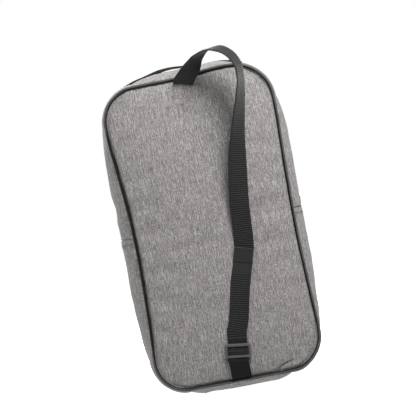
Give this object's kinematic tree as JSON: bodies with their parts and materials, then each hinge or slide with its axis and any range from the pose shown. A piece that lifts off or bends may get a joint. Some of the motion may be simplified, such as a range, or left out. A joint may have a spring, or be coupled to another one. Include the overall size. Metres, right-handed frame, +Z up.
{
  "type": "golf shoe bag",
  "caption": "Padded melange shoe bag with a zipped flap over its upper half, a carry handle on top and an adjustable webbing strap with a ladder-lock buckle on the back.",
  "frame": {"origin": "centre of the flat base the bag stands on", "axes": "+Z up the bag's length to the carry handle, +Y out of the front panel with the zipped flap, -Y out of the back panel with the strap, +X to the right as seen from behind the bag"},
  "size_m": [0.2418, 0.1735, 0.4345],
  "materials": {
    "melange_fabric": "heather-grey woven polyester with light and dark flecks",
    "foam_padding": "soft open-cell foam",
    "lining": "plain weave, slight sheen",
    "piping": "smooth coated tape over cord",
    "binding_tape": "woven tape",
    "zip_tape": "herringbone tape",
    "zip_teeth": "moulded, semi-gloss",
    "zip_metal": "gunmetal, satin",
    "webbing": "ribbed polyester webbing",
    "buckle_resin": "moulded, satin"
  },
  "bodies": {
    "bag": {"back_panel": "melange_fabric", "back_panel_foam": "foam_padding", "back_panel_lining": "lining", "front_panel_lower": "melange_fabric", "front_panel_lower_foam": "foam_padding", "front_panel_lower_lining": "lining", "lower_gusset": "melange_fabric", "lower_gusset_lining": "lining", "upper_gusset_back": "melange_fabric", "upper_gusset_back_lining": "lining", "back_piping": "piping", "front_piping_lower": "piping", "back_seam_binding": "binding_tape", "front_seam_binding_lower": "binding_tape", "zip_tape_back": "zip_tape", "zip_teeth_back": "zip_teeth", "carry_handle": "webbing", "strap_anchor_loop": "webbing", "shoulder_strap": "webbing", "strap_tail": "webbing"},
    "flap": {"front_panel_flap": "melange_fabric", "front_panel_flap_foam": "foam_padding", "front_panel_flap_lining": "lining", "upper_gusset_front": "melange_fabric", "front_piping_flap": "piping", "front_seam_binding_flap": "binding_tape", "zip_tape_front": "zip_tape", "zip_teeth_front": "zip_teeth"},
    "slider": {"zip_slider": "zip_metal"},
    "pull": {"zip_pull_tab": "zip_metal"},
    "buckle": {"strap_buckle": "buckle_resin", "strap_fold": "webbing"}
  },
  "joints": [
    {"name": "flap_fold", "type": "hinge", "parent": "bag", "child": "flap", "pos_m": [0, 0.0672, 0.213], "axis": [-1, 0, 0], "range_deg": [0, 110]},
    {"name": "zip_slide", "type": "slide", "parent": "bag", "child": "slider", "axis": [0.0324, 0, 0.9995], "range_m": [0, 0.075]},
    {"name": "pull_swing", "type": "hinge", "parent": "slider", "child": "pull", "pos_m": [0.11872, 0.03086, 0.22267], "axis": [0.2851, -0.9585, -0.0092], "range_deg": [0, 170]},
    {"name": "buckle_tilt", "type": "hinge", "parent": "bag", "child": "buckle", "pos_m": [0.0011, -0.0625, 0.0349], "axis": [0.9914, 0, -0.1305], "range_deg": [0, 35]}
  ]
}
